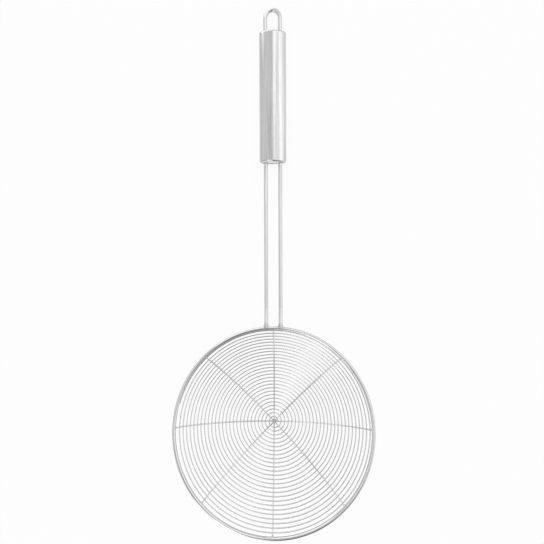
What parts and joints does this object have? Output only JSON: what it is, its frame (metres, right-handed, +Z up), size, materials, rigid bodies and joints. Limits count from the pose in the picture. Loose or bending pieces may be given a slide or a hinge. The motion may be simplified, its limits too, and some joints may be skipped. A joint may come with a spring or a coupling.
{
  "type": "wire skimmer",
  "caption": "Stainless steel wire skimmer: shallow round bowl wound as a spiral on crossed spokes in a rim ring, two-wire handle with an oval grip and a hanging loop.",
  "frame": {"origin": "middle of the space that the skimmer takes, on the table it lies on", "axes": "+Z up, +Y from the bowl to the hanging loop, +X to the right seen from the bowl; the skimmer lies on the bottom of its bowl and on the far end of its grip"},
  "size_m": [0.163, 0.4177, 0.056],
  "materials": {
    "rim_steel": "bright drawn stainless wire, polished",
    "screen_steel": "bright drawn stainless wire, thin",
    "spoke_steel": "bright drawn stainless wire, spot welded",
    "handle_steel": "bright drawn stainless wire, polished, heat tint at the welds",
    "sleeve_steel": "satin stainless tube, brushed along its length",
    "cap_steel": "plain stainless sheet"
  },
  "bodies": {
    "root": {"rim_ring": "rim_steel", "screen_spiral": "screen_steel", "spoke_wire_1": "spoke_steel", "spoke_wire_2": "spoke_steel", "spoke_wire_3": "spoke_steel", "spoke_wire_4": "spoke_steel", "handle_wire": "handle_steel", "handle_sleeve": "sleeve_steel", "front_cap": "cap_steel", "rear_cap": "cap_steel"}
  },
  "joints": []
}
